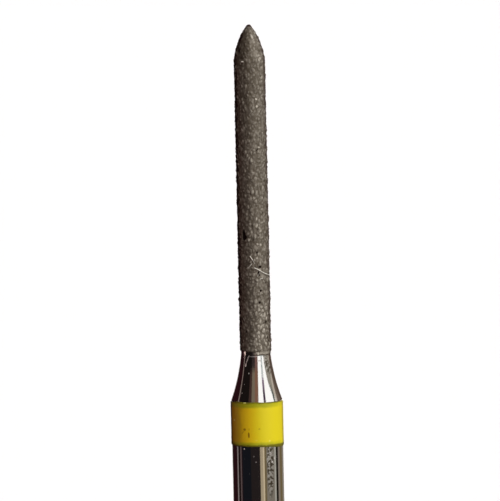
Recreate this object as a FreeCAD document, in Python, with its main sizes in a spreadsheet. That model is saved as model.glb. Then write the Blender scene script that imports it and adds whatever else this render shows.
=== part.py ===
import FreeCAD, Part
import math
import os
import Sketcher

# Friction-grip dental bur with a torpedo-shaped diamond head, standing on the end of its shank.
# Millimetres. Z is the bur's axis, up towards the point. The origin is the centre of the shank's end face.

SIZES = {
    # shank, the plain cylinder that the handpiece grips
    "shank_diameter": 1.60,
    "shank_length": 11.19,
    "end_chamfer": 0.15,
    # neck, flaring from the head down to the shank along one hollow arc
    "neck_length": 1.57,
    "neck_collar": 0.10,
    "neck_arc_radius": 6.1,
    # head, measured over the diamond coating
    "head_length": 10.24,
    "head_diameter": 0.98,
    "point_length": 1.11,
    "point_arc_radius": 2.30,
    "nose_radius": 0.095,
    "coating_thickness": 0.03,
    "coating_edge_rounding": 0.018,
    # colour ring, lacquer in a shallow seat turned at the top of the shank; both dip a little half way up
    "ring_height": 1.39,
    "ring_seat_depth": 0.03,
    "ring_proud": 0.024,
    "ring_dip": 0.010,
    "ring_rim_rounding": 0.018,
}

# Places on a sketch's curve, and its two axes
START, END, CENTRE = range(1, 4)
LEVEL, AXIS = range(-1, -3, -1)
# Two sizes nearer than this are the same
CLOSE = 1e-4

doc = FreeCAD.newDocument("dental_bur")
sheet = doc.addObject("Spreadsheet::Sheet", "sizes")
for row, (name, value) in enumerate(SIZES.items(), start=1):
    sheet.set(f"A{row}", name)
    sheet.set(f"B{row}", str(value))
    sheet.setAlias(f"B{row}", name)
doc.recompute()

# Heights and radii that several sketches share, as formulas on the sheet
NECK_TOP = "(sizes.shank_length + sizes.neck_length)"
TIP = "(sizes.shank_length + sizes.neck_length + sizes.head_length)"
SHOULDER = f"({TIP} - sizes.point_length)"
SHANK_RADIUS = "(sizes.shank_diameter / 2)"
HEAD_RADIUS = "(sizes.head_diameter / 2)"
CORE_RADIUS = f"({HEAD_RADIUS} - sizes.coating_thickness)"
SEAT_RADIUS = f"({SHANK_RADIUS} - sizes.ring_seat_depth)"
RIM_RADIUS = f"({SHANK_RADIUS} + sizes.ring_proud)"
DIP_ARC = "((sizes.ring_height / 2)^2 + sizes.ring_dip^2) / (2 * sizes.ring_dip)"

# The same places as numbers, to draw each sketch close to its final form
shank_radius = SIZES["shank_diameter"] / 2
head_radius = SIZES["head_diameter"] / 2
core_radius = head_radius - SIZES["coating_thickness"]
seat_radius = shank_radius - SIZES["ring_seat_depth"]
rim_radius = shank_radius + SIZES["ring_proud"]
neck_foot = SIZES["shank_length"]
ring_foot = neck_foot - SIZES["ring_height"]
neck_top = neck_foot + SIZES["neck_length"]
tip = neck_top + SIZES["head_length"]
shoulder = tip - SIZES["point_length"]


def point(x, y):
    return FreeCAD.Vector(x, y, 0)


def centre_left_of(start, start_distance, end, end_distance):
    # The point at the given distances from two others, on the left of the way from start to end
    way = end - start
    along = (start_distance**2 - end_distance**2 + way.Length**2) / (2 * way.Length)
    aside = math.sqrt(start_distance**2 - along**2)
    way.normalize()
    return start + way * along + point(-way.y, way.x) * aside


def arc(centre, start, end):
    # Anticlockwise arc round a centre, from the direction of one point to that of another
    first = math.atan2(start.y - centre.y, start.x - centre.x)
    last = math.atan2(end.y - centre.y, end.x - centre.x)
    if last < first:
        last += 2 * math.pi
    circle = Part.Circle(centre, FreeCAD.Vector(0, 0, 1), (start - centre).Length)
    return Part.ArcOfCircle(circle, first, last)


def new_body(label):
    body = doc.addObject("PartDesign::Body", label)
    body.Label = label
    body.Placement = FreeCAD.Placement()
    return body


def new_sketch(body, name):
    # A half section in the body's own XZ plane: X is the radius and Y the height
    sketch = body.newObject("Sketcher::SketchObject", name)
    plane = next(item for item in body.Origin.OriginFeatures if item.Role == "XZ_Plane")
    sketch.AttachmentSupport = [(plane, "")]
    sketch.MapMode = "FlatFace"
    return sketch


def constrain(sketch, *constraints):
    for entry in constraints:
        sketch.addConstraint(Sketcher.Constraint(*entry))


def dimension(sketch, name, kind, places, formula):
    # A named dimension that starts at the drawn size and then follows the sheet
    if kind == "Radius":
        value = sketch.Geometry[places[0]].Radius
    else:
        ends = [sketch.getPoint(*places[i:i + 2]) for i in range(0, len(places), 2)]
        span = ends[-1] - ends[0] if len(ends) == 2 else ends[0]
        value = span.x if kind == "DistanceX" else span.y
    index = sketch.addConstraint(Sketcher.Constraint(kind, *places, value))
    sketch.renameConstraint(index, name)
    sketch.setExpression(f"Constraints.{name}", formula)


def turned(body, kind, name, sketch):
    # A full turn of a half section about the bur's axis, added to the body or cut out of it
    feature = body.newObject(f"PartDesign::{kind}", name)
    feature.Profile = sketch
    feature.ReferenceAxis = (sketch, ["V_Axis"])
    feature.Angle = 360
    sketch.Visibility = False
    doc.recompute()
    return feature


def edges_at(body, radius, height):
    # Names of the round edges of a body's last feature at one radius and height
    found = []
    for number, edge in enumerate(body.Tip.Shape.Edges, start=1):
        if edge.Degenerated or not isinstance(edge.Curve, Part.Circle):
            continue
        same_radius = abs(edge.Curve.Radius - radius) < CLOSE
        same_height = abs(edge.Curve.Center.z - height) < CLOSE
        if same_radius and same_height:
            found.append(f"Edge{number}")
    return found


def broken_edges(body, kind, name, edges, size, formula):
    # A chamfer or fillet on some edges of the body's last feature
    base = body.Tip
    feature = body.newObject(f"PartDesign::{kind}", name)
    feature.Base = (base, edges)
    feature.setExpression(size, formula)
    doc.recompute()
    return feature


def point_outline(sketch):
    # Outline of the head over its coating: straight side, long arc of the point, small arc of the nose.
    # Returns the numbers of the three curves, from the side up to the nose.
    nose_centre = point(0, tip - SIZES["nose_radius"])
    side_top = point(head_radius, shoulder)
    arc_radius = SIZES["point_arc_radius"]
    arc_centre = centre_left_of(side_top, arc_radius, nose_centre, arc_radius - SIZES["nose_radius"])
    away = (nose_centre - arc_centre).normalize()
    nose_start = nose_centre + away * SIZES["nose_radius"]
    side = sketch.addGeometry(Part.LineSegment(point(head_radius, neck_top), side_top), False)
    ogive = sketch.addGeometry(arc(arc_centre, side_top, nose_start), False)
    nose = sketch.addGeometry(arc(nose_centre, nose_start, point(0, tip)), False)
    constrain(
        sketch,
        ("Vertical", side),
        ("Coincident", side, END, ogive, START),
        ("Tangent", ogive, END, nose, START),
        ("PointOnObject", nose, CENTRE, AXIS),
        ("PointOnObject", nose, END, AXIS),
    )
    dimension(sketch, "head_radius", "DistanceX", (side, START), HEAD_RADIUS)
    dimension(sketch, "head_base", "DistanceY", (side, START), NECK_TOP)
    dimension(sketch, "shoulder_height", "DistanceY", (side, END), SHOULDER)
    dimension(sketch, "tip_height", "DistanceY", (nose, END), TIP)
    dimension(sketch, "point_arc", "Radius", (ogive,), "sizes.point_arc_radius")
    dimension(sketch, "nose_arc", "Radius", (nose,), "sizes.nose_radius")
    return side, ogive, nose


def core_outline(sketch, ogive, nose, side_foot):
    # The steel under the coating: the same arcs drawn from the same centres, one coating thickness inside.
    # Returns the numbers of the three curves, from the side up to the nose.
    thickness = SIZES["coating_thickness"]
    outer_ogive = sketch.Geometry[ogive]
    outer_nose = sketch.Geometry[nose]
    inner_radius = outer_ogive.Radius - thickness
    drop = math.sqrt(inner_radius**2 - (core_radius - outer_ogive.Center.x)**2)
    side_top = point(core_radius, outer_ogive.Center.y + drop)
    away = (outer_nose.Center - outer_ogive.Center).normalize()
    nose_start = outer_ogive.Center + away * inner_radius
    side = sketch.addGeometry(Part.LineSegment(side_foot, side_top), False)
    inner_ogive = sketch.addGeometry(arc(outer_ogive.Center, side_top, nose_start), False)
    inner_nose = sketch.addGeometry(arc(outer_nose.Center, nose_start, point(0, tip - thickness)), False)
    constrain(
        sketch,
        ("Vertical", side),
        ("Coincident", side, END, inner_ogive, START),
        ("Coincident", inner_ogive, CENTRE, ogive, CENTRE),
        ("Coincident", inner_nose, CENTRE, nose, CENTRE),
        ("Tangent", inner_ogive, END, inner_nose, START),
        ("PointOnObject", inner_nose, END, AXIS),
    )
    dimension(sketch, "core_radius", "DistanceX", (side, START), CORE_RADIUS)
    dimension(sketch, "core_tip", "DistanceY", (inner_nose, END), f"{TIP} - sizes.coating_thickness")
    return side, inner_ogive, inner_nose


def dipped_side(sketch, radius, name, formula):
    # A side of the ring or its seat, from its top to its foot, that dips a little towards the bur's axis
    half_height = SIZES["ring_height"] / 2
    dip = SIZES["ring_dip"]
    arc_radius = (half_height**2 + dip**2) / (2 * dip)
    arc_centre = point(radius - dip + arc_radius, neck_foot - half_height)
    side = sketch.addGeometry(arc(arc_centre, point(radius, neck_foot), point(radius, ring_foot)), False)
    dimension(sketch, f"{name}_arc", "Radius", (side,), DIP_ARC)
    dimension(sketch, f"{name}_top_radius", "DistanceX", (side, START), formula)
    dimension(sketch, f"{name}_foot_radius", "DistanceX", (side, END), formula)
    return side


def joined(sketch, *ends):
    # A line between two ends of curves that are already drawn
    places = [sketch.getPoint(*end) for end in ends]
    line = sketch.addGeometry(Part.LineSegment(*places), False)
    constrain(
        sketch,
        ("Coincident", line, START, *ends[0]),
        ("Coincident", line, END, *ends[1]),
    )
    return line


def add_shank(body):
    sketch = new_sketch(body, "shank_section")
    ends = point(shank_radius, 0), point(shank_radius, neck_foot)
    wall = sketch.addGeometry(Part.LineSegment(*ends), False)
    middle = sketch.addGeometry(Part.LineSegment(point(0, neck_foot), point(0, 0)), False)
    constrain(
        sketch,
        ("Vertical", wall),
        ("PointOnObject", wall, START, LEVEL),
        ("PointOnObject", middle, START, AXIS),
        ("Coincident", middle, END, LEVEL, START),
    )
    top = joined(sketch, (wall, END), (middle, START))
    joined(sketch, (middle, END), (wall, START))
    constrain(sketch, ("Horizontal", top))
    dimension(sketch, "shank_radius", "DistanceX", (wall, START), SHANK_RADIUS)
    dimension(sketch, "shank_length", "DistanceY", (wall, END), "sizes.shank_length")
    turned(body, "Revolution", "shank", sketch)


def add_neck_and_core(body):
    # The hollow flare of the neck, its short collar, and the core that the coating covers
    sketch = new_sketch(body, "neck_and_core_section")
    outer_side, ogive, nose = point_outline(sketch)
    for curve in (outer_side, ogive, nose):
        sketch.toggleConstruction(curve)
    collar_foot = point(core_radius, neck_top - SIZES["neck_collar"])
    side, _, inner_nose = core_outline(sketch, ogive, nose, collar_foot)
    foot = point(shank_radius, neck_foot)
    flare_radius = SIZES["neck_arc_radius"]
    flare_centre = centre_left_of(collar_foot, flare_radius, foot, flare_radius)
    flare = sketch.addGeometry(arc(flare_centre, collar_foot, foot), False)
    base = sketch.addGeometry(Part.LineSegment(point(0, neck_foot), foot), False)
    constrain(
        sketch,
        ("Coincident", flare, START, side, START),
        ("Coincident", flare, END, base, END),
        ("Horizontal", base),
        ("PointOnObject", base, START, AXIS),
    )
    joined(sketch, (base, START), (inner_nose, END))
    dimension(sketch, "foot_height", "DistanceY", (base, END), "sizes.shank_length")
    dimension(sketch, "foot_radius", "DistanceX", (base, END), SHANK_RADIUS)
    dimension(sketch, "collar_foot", "DistanceY", (side, START), f"{NECK_TOP} - sizes.neck_collar")
    dimension(sketch, "flare_arc", "Radius", (flare,), "sizes.neck_arc_radius")
    turned(body, "Revolution", "neck_and_core", sketch)


def cut_ring_seat(body):
    sketch = new_sketch(body, "ring_seat_section")
    wall = Part.LineSegment(point(shank_radius, ring_foot), point(shank_radius, neck_foot))
    outside = sketch.addGeometry(wall, False)
    inside = dipped_side(sketch, seat_radius, "seat", SEAT_RADIUS)
    constrain(sketch, ("Vertical", outside))
    dimension(sketch, "shank_radius", "DistanceX", (outside, START), SHANK_RADIUS)
    dimension(sketch, "seat_top", "DistanceY", (outside, END), "sizes.shank_length")
    dimension(sketch, "seat_height", "DistanceY", (outside, START, outside, END), "sizes.ring_height")
    top = joined(sketch, (outside, END), (inside, START))
    joined(sketch, (inside, END), (outside, START))
    constrain(sketch, ("Horizontal", top))
    volume_before = body.Tip.Shape.Volume
    turned(body, "Groove", "ring_seat", sketch)
    if body.Tip.Shape.Volume >= volume_before:
        raise RuntimeError("the ring seat cut nothing out of the shank")


def make_blank():
    # Shank, neck and core, turned from one bar
    body = new_body("steel_blank")
    add_shank(body)
    add_neck_and_core(body)
    cut_ring_seat(body)
    end_edge = edges_at(body, shank_radius, 0)
    broken_edges(body, "Chamfer", "end_chamfer", end_edge, "Size", "sizes.end_chamfer")
    return body


def make_coating():
    # The layer of bonded grit, as an even skin over the core, closed at the nose and open at the neck
    body = new_body("diamond_coating")
    sketch = new_sketch(body, "coating_section")
    side, ogive, nose = point_outline(sketch)
    inner_side, _, inner_nose = core_outline(sketch, ogive, nose, point(core_radius, neck_top))
    rim = joined(sketch, (inner_side, START), (side, START))
    constrain(sketch, ("Horizontal", rim))
    joined(sketch, (inner_nose, END), (nose, END))
    turned(body, "Revolution", "coating", sketch)
    edge = edges_at(body, head_radius, neck_top)
    edge_radius = "min(sizes.coating_edge_rounding; sizes.coating_thickness * 0.8)"
    broken_edges(body, "Fillet", "lower_edge", edge, "Radius", edge_radius)
    return body


def make_ring():
    # The colour band fills its seat, and its two rims stand prouder of the shank than its middle does
    body = new_body("colour_ring")
    sketch = new_sketch(body, "ring_section")
    inside = dipped_side(sketch, seat_radius, "seat", SEAT_RADIUS)
    outside = dipped_side(sketch, rim_radius, "rim", RIM_RADIUS)
    top = joined(sketch, (outside, START), (inside, START))
    joined(sketch, (inside, END), (outside, END))
    constrain(sketch, ("Horizontal", top))
    dimension(sketch, "ring_top", "DistanceY", (inside, START), "sizes.shank_length")
    dimension(sketch, "ring_height", "DistanceY", (inside, END, inside, START), "sizes.ring_height")
    turned(body, "Revolution", "band", sketch)
    rims = edges_at(body, rim_radius, ring_foot) + edges_at(body, rim_radius, neck_foot)
    rim_rounding = "min(sizes.ring_rim_rounding; sizes.ring_proud * 0.8)"
    broken_edges(body, "Fillet", "rims", rims, "Radius", rim_rounding)
    return body


bodies = [make_blank(), make_coating(), make_ring()]
doc.recompute()

for item in doc.Objects:
    if "Invalid" in item.State or "Error" in item.State:
        raise RuntimeError(f"{item.Name} did not build: {item.State}")
for body in bodies:
    if body.Shape.isNull() or not body.Shape.isValid():
        raise RuntimeError(f"{body.Label} is not a valid solid")

os.makedirs("parts", exist_ok=True)
for body in bodies:
    body.Shape.exportStep(os.path.join("parts", f"{body.Label}.step"))
    box = body.Shape.optimalBoundingBox()
    heights = f"z {box.ZMin:.3f} to {box.ZMax:.3f}"
    print(f"{body.Label}: {body.Shape.Volume:.4f} mm3, {heights}, {box.XLength:.3f} across")
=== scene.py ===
import math
import bpy
import numpy as np
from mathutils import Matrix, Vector, kdtree, noise


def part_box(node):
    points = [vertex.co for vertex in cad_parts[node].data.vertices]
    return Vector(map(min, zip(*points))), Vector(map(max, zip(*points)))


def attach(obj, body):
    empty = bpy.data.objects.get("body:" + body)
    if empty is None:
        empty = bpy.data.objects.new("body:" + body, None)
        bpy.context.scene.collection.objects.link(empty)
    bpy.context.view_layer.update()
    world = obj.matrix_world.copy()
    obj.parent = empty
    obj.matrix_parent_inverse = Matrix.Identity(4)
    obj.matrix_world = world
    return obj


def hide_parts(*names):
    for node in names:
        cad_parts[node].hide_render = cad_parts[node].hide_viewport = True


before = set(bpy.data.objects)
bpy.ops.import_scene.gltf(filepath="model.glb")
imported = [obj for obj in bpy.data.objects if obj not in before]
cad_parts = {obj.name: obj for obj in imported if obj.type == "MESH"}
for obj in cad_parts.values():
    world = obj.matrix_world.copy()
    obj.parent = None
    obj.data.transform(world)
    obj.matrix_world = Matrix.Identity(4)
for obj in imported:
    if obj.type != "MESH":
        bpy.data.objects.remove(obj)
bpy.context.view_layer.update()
mm = 0.001

# Friction-grip dental bur, standing on the end of its shank.
# Lengths in the dictionaries are millimetres, angles are degrees. Angle 0 on the bur faces the camera,
# and angles grow towards its right.


def heightsOf(node):
    low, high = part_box(node)
    return low.z / mm, high.z / mm


ringFoot, ringTop = heightsOf("colour_ring")
headFoot, tip = heightsOf("diamond_coating")
print(f"frame loaded: ring {ringFoot:.2f} to {ringTop:.2f} mm, head {headFoot:.2f} to {tip:.2f} mm")


def addObject(name, data):
    thing = bpy.data.objects.new(name, data)
    bpy.context.scene.collection.objects.link(thing)
    return thing


def addMesh(name, verts, faces):
    mesh = bpy.data.meshes.new(name)
    mesh.from_pydata(verts, [], faces)
    return addObject(name, mesh)


def atAngle(radius, turn, height):
    # A place at a distance from the axis. turn is in radians, 0 faces the camera
    return Vector((radius * math.sin(turn), -radius * math.cos(turn), height))


def degreesFrom(turn, angle):
    # How far a turn in radians is from an angle in degrees, the short way round
    return (math.degrees(turn) - angle + 180) % 360 - 180


# Camera

cameraView = {
    "lens": 600.0,
    "distance": 261.5,
    "elevation": 6.5,
    "lean": 1.25,  # the bur's top leans this far to the left
    "aimHeight": 15.896,  # what the middle of the picture shows
    "aimAside": -0.109,
}


def makeCamera(view):
    data = bpy.data.cameras.new("camera")
    data.lens = view["lens"]
    data.clip_start = 0.01
    data.clip_end = 5.0
    camera = addObject("camera", data)
    elevation = math.radians(view["elevation"])
    back = Vector((0, -math.cos(elevation), math.sin(elevation)))
    aim = Vector((view["aimAside"], 0, view["aimHeight"]))
    camera.location = (aim + back * view["distance"]) * mm
    camera.rotation_euler = (math.pi / 2 - elevation, 0, 0)
    camera.rotation_euler.rotate_axis("Z", -math.radians(view["lean"]))
    bpy.context.scene.camera = camera


makeCamera(cameraView)
bpy.context.scene.view_settings.view_transform = "Standard"


# Small helpers for shader trees and meshes

def addNode(tree, kind, inputs=None, **settings):
    # A value in inputs is either a plain value or another node's output
    node = tree.nodes.new(kind)
    for name, value in settings.items():
        setattr(node, name, value)
    for name, value in (inputs or {}).items():
        if isinstance(value, bpy.types.NodeSocket):
            tree.links.new(value, node.inputs[name])
        else:
            node.inputs[name].default_value = value
    return node


def maths(tree, operation, first, second=0.0, clamp=False):
    node = addNode(tree, "ShaderNodeMath", {0: first, 1: second}, operation=operation, use_clamp=clamp)
    return node.outputs[0]


def times(tree, first, second):
    return maths(tree, "MULTIPLY", first, second)


def lengthOf(tree, first, second):
    squares = [times(tree, side, side) for side in (first, second)]
    return maths(tree, "SQRT", maths(tree, "ADD", *squares))


def rampBetween(tree, value, start, end, low=0.0, high=1.0):
    # Goes smoothly from low to high while value goes from start to end
    inputs = {"Value": value, "From Min": start, "From Max": end, "To Min": low, "To Max": high}
    return addNode(tree, "ShaderNodeMapRange", inputs, interpolation_type="SMOOTHSTEP").outputs[0]


def mixColours(tree, factor, first, second):
    inputs = {0: factor}
    for place, value in ((6, first), (7, second)):
        inputs[place] = value if isinstance(value, bpy.types.NodeSocket) else (*value, 1.0)
    return addNode(tree, "ShaderNodeMix", inputs, data_type="RGBA").outputs[2]


def noiseOf(tree, vector, scale, detail=2.0):
    inputs = {"Vector": vector, "Scale": scale, "Detail": detail}
    return addNode(tree, "ShaderNodeTexNoise", inputs).outputs[0]


def stretched(tree, vector, factors):
    inputs = {0: vector, 1: factors}
    return addNode(tree, "ShaderNodeVectorMath", inputs, operation="MULTIPLY").outputs[0]


def bumpFrom(tree, shader, height, distance):
    # distance is in metres
    bump = addNode(tree, "ShaderNodeBump", {"Height": height, "Distance": distance})
    tree.links.new(bump.outputs[0], shader.inputs["Normal"])


def newMaterial(name):
    material = bpy.data.materials.new(name)
    material.use_nodes = True
    tree = material.node_tree
    return material, tree, tree.nodes["Principled BSDF"]


def newGroup(name, inputs, outputs):
    group = bpy.data.node_groups.new(name, "ShaderNodeTree")
    for label, value in inputs.items():
        socket = group.interface.new_socket(name=label, in_out="INPUT", socket_type="NodeSocketFloat")
        socket.default_value = value
    for label, kind in outputs.items():
        group.interface.new_socket(name=label, in_out="OUTPUT", socket_type="NodeSocket" + kind)
    entry = group.nodes.new("NodeGroupInput")
    leaving = group.nodes.new("NodeGroupOutput")
    return group, entry, leaving


def useGroup(tree, group, **inputs):
    return addNode(tree, "ShaderNodeGroup", inputs, node_tree=group).outputs


def wrapGrid(name, radii, heights, closeStart=None, closeEnd=None):
    # Mesh of rows of points round the axis. radii and heights have one row for each ring of points, and a
    # close is the height of a point on the axis that ends the mesh there.
    rows, columns = radii.shape
    turn = np.arange(columns) / columns * 2 * math.pi
    points = np.stack([radii * np.sin(turn), -radii * np.cos(turn), heights], axis=-1)
    verts = [tuple(p) for p in (points * mm).reshape(-1, 3)]
    along = np.concatenate([[0.0], np.cumsum(np.hypot(*np.diff([radii.mean(1), heights.mean(1)], axis=1)))])
    lead = 0.02 * along[-1]
    first = along[0] - (lead if closeStart is not None else 0)
    last = along[-1] + (lead if closeEnd is not None else 0)
    margin, poleMargin = 0.01, 0.002  # shares of the UV square left free
    share = margin + (along - first) / (last - first) * (1 - 2 * margin)
    faces, uvs = [], []
    for row in range(rows - 1):
        low, high = row * columns, (row + 1) * columns
        for column in range(columns):
            beside = (column + 1) % columns
            faces.append((low + column, low + beside, high + beside, high + column))
            left, right = column / columns, (column + 1) / columns
            uvs += [(left, share[row]), (right, share[row]), (right, share[row + 1]), (left, share[row + 1])]
    for height, row, edge in ((closeStart, 0, poleMargin), (closeEnd, rows - 1, 1 - poleMargin)):
        if height is None:
            continue
        pole = len(verts)
        verts.append((0, 0, height * mm))
        for column in range(columns):
            beside = (column + 1) % columns
            corners = (row * columns + beside, row * columns + column, pole)
            left, right = column / columns, (column + 1) / columns
            uv = [(right, share[row]), (left, share[row]), ((left + right) / 2, edge)]
            if row:
                corners, uv = corners[1::-1] + corners[2:], uv[1::-1] + uv[2:]
            faces.append(corners)
            uvs += uv
    piece = addMesh(name, verts, faces)
    layer = piece.data.uv_layers.new(name="OFBake")
    layer.data.foreach_set("uv", np.array(uvs, dtype=np.float32).ravel())
    piece.data.update()
    return piece


def smoothUpTo(piece, degrees):
    # Edges with a larger angle between their faces stay sharp
    piece.data.shade_smooth()
    piece.data.set_sharp_from_angle(angle=math.radians(degrees))


def turnedPiece(name, profile, columns, closeStart=None, closeEnd=None):
    # A turned piece from its half section, a list of (radius, height)
    outline = np.array(profile)
    radii = np.repeat(outline[:, :1], columns, axis=1)
    heights = np.repeat(outline[:, 1:], columns, axis=1)
    return wrapGrid(name, radii, heights, closeStart, closeEnd)


def arcPoints(centre, radius, start, end, count):
    # Points on an arc, angles in radians from the outward direction
    angles = np.linspace(start, end, count)
    return [(centre[0] + radius * math.cos(a), centre[1] + radius * math.sin(a)) for a in angles]


def centreLeftOf(start, startDistance, end, endDistance):
    # The point at given distances from two others, on the left of the way from start to end
    way = Vector(end) - Vector(start)
    along = (startDistance**2 - endDistance**2 + way.length_squared) / (2 * way.length)
    aside = math.sqrt(startDistance**2 - along**2)
    way.normalize()
    return Vector(start) + way * along + Vector((-way.y, way.x)) * aside


def angleFrom(centre, place):
    return math.atan2(place[1] - centre[1], place[0] - centre[0])


# Stage: floor, world, lamps, and cards that only the polished metal mirrors

stage = {
    "floorSize": 1.6,  # metres
    "floorColour": (0.50, 0.50, 0.50),
    "floorRoughness": 0.9,
    "floorLift": 0.38,  # glow that brings the floor to white for the camera
    "frontFill": (0.075, 0.040, 0.036),  # faint warm light of the room, from the camera's side
    "leftFill": (0.260, 0.115, 0.100),
    "backFill": (0.16, 0.13, 0.12),
    "fillEdges": (0.3, 0.9),  # how far aside or back a fill starts, and where it is full
    "keyAngle": 48.0,
    "keyElevation": 36.0,
    "keySoftness": 76.0,
    "keyStrength": 4.3,
    "backAngle": 178.0,
    "backElevation": 30.0,
    "backSoftness": 12.0,
    "backStrength": 2.4,
    "lampDistance": 0.3,  # metres
    "tentRadius": 20.0,
    "tentFacet": 4.0,  # a card has a facet for about this many degrees
    "tentStep": 0.02,  # each card hangs this much nearer than the one before it
    "tentGap": 1.2,  # cards that start at height 0 go on over the floor up to here
    "tentFloorGap": 0.2,  # and lie this far above it at their far end
    "tentLidHeight": 74,
    "tentLid": (0.10, 0.075, 0.065),
}


def upright(low, high, start, end):
    # The levels of a card with straight sides
    return [(low, start, end), (high, start, end)]


# Each card: its colour, then height, first angle and last angle for each of its levels. A later card
# hangs in front of the ones before it. The shank mirrors what hangs below 9 mm, the neck the rest, and
# the nearer to the colour band, the higher.
stripCards = {
    "roomDark": ((0.022, 0.006, 0.008), upright(0, 75, -180, 180)),
    "lowStripOne": ((0.25, 0.21, 0.21), upright(0, 9, -106.5, -98)),
    "lowGreyDark": ((0.008, 0.004, 0.003), upright(0, 9, -98, -88)),
    "lowStripTwo": ((0.11, 0.082, 0.082), upright(0, 9, -86, -78)),
    "lowBlueDark": ((0.009, 0.010, 0.014), upright(0, 9, -74, 4)),
    "lowBrownDark": ((0.021, 0.016, 0.016), upright(0, 9, -32, 9)),
    "lowTan": ((0.46, 0.38, 0.26), upright(0, 9, 9.5, 30)),
    "lowPaleTan": ((0.74, 0.62, 0.42), upright(0, 9, 22.5, 28)),
    "lowBrown": ((0.19, 0.145, 0.075), upright(0, 9, 29, 180)),
    "lowGrey": ((0.245, 0.22, 0.182), upright(0, 9, 38, 88)),
    "lowPale": ((0.48, 0.47, 0.42), upright(0, 9, 78, 87)),
    "lowBar": ((0.010, 0.008, 0.005), upright(0, 9, 88, 101)),
    "lowPaleRight": ((0.28, 0.235, 0.195), upright(0, 9, 101, 115)),
    "lowWall": ((0.30, 0.27, 0.23), upright(0, 9, 138, 180)),
    "backGlow": ((0.34, 0.32, 0.31), upright(0, 75, -182, -157)),
    "leftStrip": ((0.24, 0.19, 0.17), upright(9, 75, -98, -91)),
    "wallFoot": ((0.12, 0.084, 0.066), upright(9, 13.8, 105, 180)),
    "wall": ((0.20, 0.15, 0.12), upright(13.8, 75, 100, 180)),
    "paleFoot": ((0.60, 0.53, 0.45), [(9, 60, 114), (13.9, 60, 114), (15.2, 60, 112), (17, 60, 110)]),
    "pale": ((0.86, 0.80, 0.74), [(17, 60, 111), (18, 60, 107), (75, 60, 106)]),
    "curtainFoot": ((0.36, 0.325, 0.27), [(9, 50, 109), (13.9, 50, 108), (15.2, 50, 99.5), (17, 50, 98)]),
    "curtain": ((0.10, 0.125, 0.115), [(17, 50, 98), (18, 50, 94), (19.5, 50, 93), (75, 50, 93)]),
    "neckDark": ((0.011, 0.0080, 0.0074), upright(9, 75, -86, -24)),
    "leftGlint": ((1.15, 0.84, 0.76), upright(9.6, 12.85, -102, -87)),
    "underRed": ((0.04, 0.028, 0.028), upright(9, 16.6, -29, -7)),
    "redFoot": ((0.22, 0.115, 0.10), upright(9, 16.6, -7, 16)),
    "brown": ((0.065, 0.036, 0.031), upright(16.6, 75, -40, -26)),
    "greyBrown": ((0.22, 0.175, 0.125), upright(16.6, 75, -26, -9)),
    "redBrown": ((0.25, 0.13, 0.085), upright(16.6, 75, -9, 16)),
    "window": ((1.38, 1.38, 1.37), [(9, 13, 57), (14.65, 13, 60.4), (16, 12.7, 66.3),
                                    (17.1, 11.8, 73.4), (17.7, 11.2, 86), (19.5, 10.3, 88),
                                    (24, 7.8, 89), (75, 7.8, 89)]),
    "barFoot": ((0.36, 0.43, 0.43), [(9, 37, 44), (15, 36.5, 45.5), (17.5, 34.5, 47)]),
    "barMiddle": ((0.28, 0.20, 0.28), [(17.5, 34.5, 47), (19.5, 34, 45.5)]),
    "bar": ((0.07, 0.035, 0.07), [(19.5, 34, 45.5), (22.3, 33.8, 44)]),
    "barTop": ((0.08, 0.04, 0.02), [(22.3, 33.8, 44), (75, 33.5, 43)]),
}


def seenByMirror(tree):
    # 1 for rays from the camera and from mirrors or glass, 0 for soft bounced light
    path = tree.nodes.new("ShaderNodeLightPath").outputs
    seen = maths(tree, "MAXIMUM", path["Is Camera Ray"], path["Is Glossy Ray"])
    return maths(tree, "MAXIMUM", seen, path["Is Transmission Ray"])


def makeFloor():
    half = stage["floorSize"] / 2
    corners = [(-half, -half, 0), (half, -half, 0), (half, half, 0), (-half, half, 0)]
    floor = addMesh("floor", corners, [(0, 1, 2, 3)])
    material, tree, shader = newMaterial("paleFloor")
    shader.inputs["Base Color"].default_value = (*stage["floorColour"], 1)
    shader.inputs["Roughness"].default_value = stage["floorRoughness"]
    shader.inputs["Specular IOR Level"].default_value = 0.0
    shader.inputs["Emission Color"].default_value = (1, 1, 1, 1)
    lift = times(tree, seenByMirror(tree), stage["floorLift"])
    tree.links.new(lift, shader.inputs["Emission Strength"])
    floor.data.materials.append(material)
    floor.visible_diffuse = False


def makeWorld():
    world = bpy.data.worlds.new("room")
    world.use_nodes = True
    tree = world.node_tree
    way = addNode(tree, "ShaderNodeTexCoord").outputs["Generated"]
    parts = addNode(tree, "ShaderNodeSeparateXYZ", {0: way}).outputs
    start, full = stage["fillEdges"]
    fromLeft = rampBetween(tree, parts["X"], -start, -full)
    fill = mixColours(tree, fromLeft, stage["frontFill"], stage["leftFill"])
    fill = mixColours(tree, rampBetween(tree, parts["Y"], start, full), fill, stage["backFill"])
    sky = mixColours(tree, seenByMirror(tree), fill, (1, 1, 1))
    tree.links.new(sky, tree.nodes["Background"].inputs["Color"])
    bpy.context.scene.world = world


def makeLamp(name):
    data = bpy.data.lights.new(name + "Lamp", "SUN")
    data.angle = math.radians(stage[name + "Softness"])
    data.energy = stage[name + "Strength"]
    lamp = addObject(name + "Lamp", data)
    elevation = math.radians(stage[name + "Elevation"])
    flat = stage["lampDistance"] * math.cos(elevation)
    rise = stage["lampDistance"] * math.sin(elevation)
    place = atAngle(flat, math.radians(stage[name + "Angle"]), rise)
    lamp.location = place
    lamp.rotation_euler = place.to_track_quat("Z", "Y").to_euler()
    lamp.visible_glossy = False


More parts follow.
